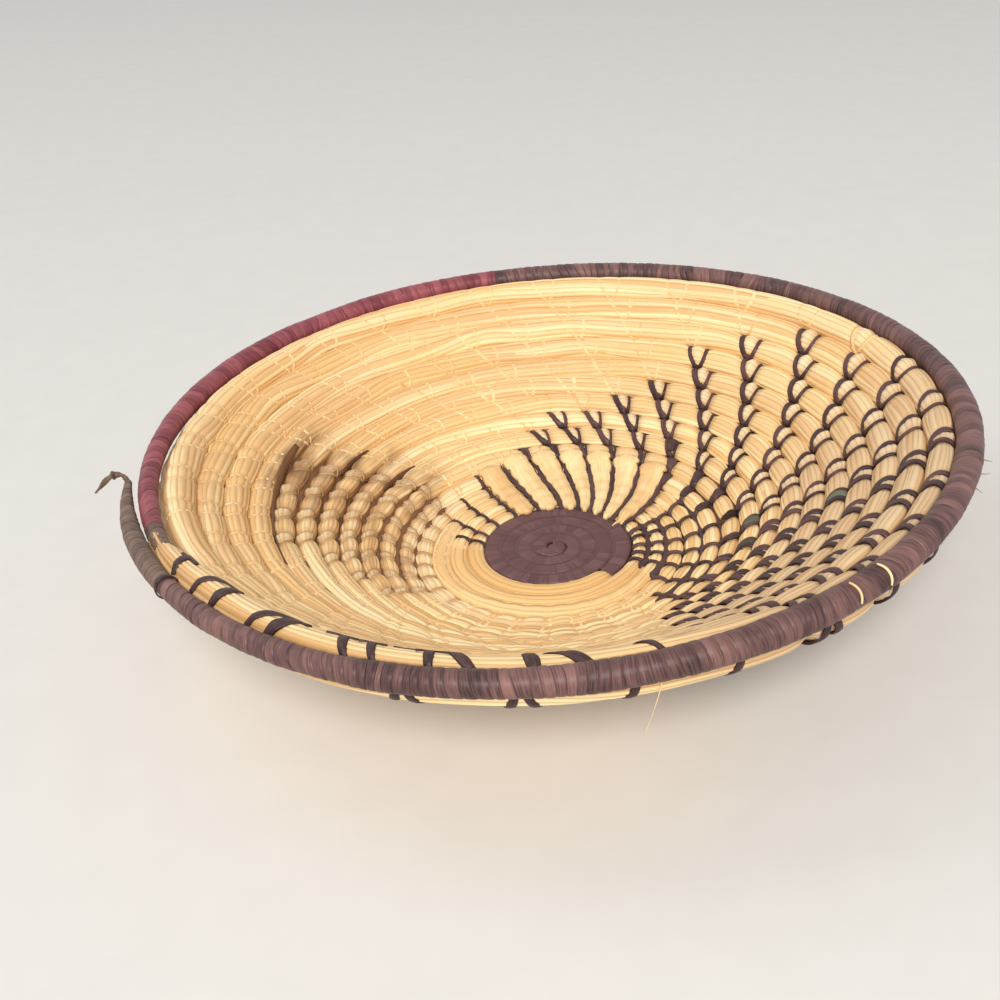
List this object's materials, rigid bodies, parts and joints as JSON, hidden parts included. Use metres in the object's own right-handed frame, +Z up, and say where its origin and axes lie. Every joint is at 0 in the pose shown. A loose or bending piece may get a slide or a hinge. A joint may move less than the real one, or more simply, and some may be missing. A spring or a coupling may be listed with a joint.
{
  "type": "coiled basket bowl",
  "caption": "Shallow round bowl of coiled grass stalks bound by leaning columns of split stitches, with a strip-wrapped rim and centre.",
  "frame": {"origin": "middle of the floor's underside, where the bowl rests", "axes": "+Z up out of the bowl; +X towards the right of the picture, +Y away from its camera"},
  "size_m": [0.3121, 0.3017, 0.0626],
  "materials": {
    "straw": "bundled dry grass stalks, faintly glossy",
    "dark_strip": "flat plant strip dyed dark brown, satin",
    "grey_strip": "flat plant strip dyed grey brown, satin",
    "red_strip": "flat plant strip dyed dark red, satin",
    "brown_strip": "flat plant strip dyed light brown, satin"
  },
  "bodies": {
    "root": {"foundation_coil": "straw", "centre_wrap": "dark_strip", "rim_wrap_grey": "grey_strip", "rim_wrap_red": "red_strip", "rim_wrap_dark": "dark_strip", "tail_wrap_grey": "grey_strip", "tail_loose_end": "grey_strip", "stitch_column_01": "dark_strip", "stitch_column_02": "dark_strip", "stitch_column_03": "dark_strip", "stitch_column_04": "dark_strip", "stitch_column_05": "dark_strip", "stitch_column_06": "dark_strip", "stitch_column_07": "straw", "stitch_column_08": "straw", "stitch_column_09": "straw", "stitch_column_10": "straw", "stitch_column_11": "straw", "stitch_column_12": "straw", "stitch_column_13": "straw", "stitch_column_14": "brown_strip", "stitch_column_15": "brown_strip", "stitch_column_16": "brown_strip", "stitch_column_17": "brown_strip", "stitch_column_18": "straw", "stitch_column_19": "straw", "stitch_column_20": "straw", "stitch_column_21": "straw", "stitch_column_22": "straw", "stitch_column_23": "straw", "stitch_column_24": "straw", "stitch_column_25": "straw", "stitch_column_26": "dark_strip", "stitch_column_27": "dark_strip", "stitch_column_28": "dark_strip", "stitch_column_29": "dark_strip", "stitch_column_30": "dark_strip", "stitch_column_31": "dark_strip"}
  },
  "joints": []
}
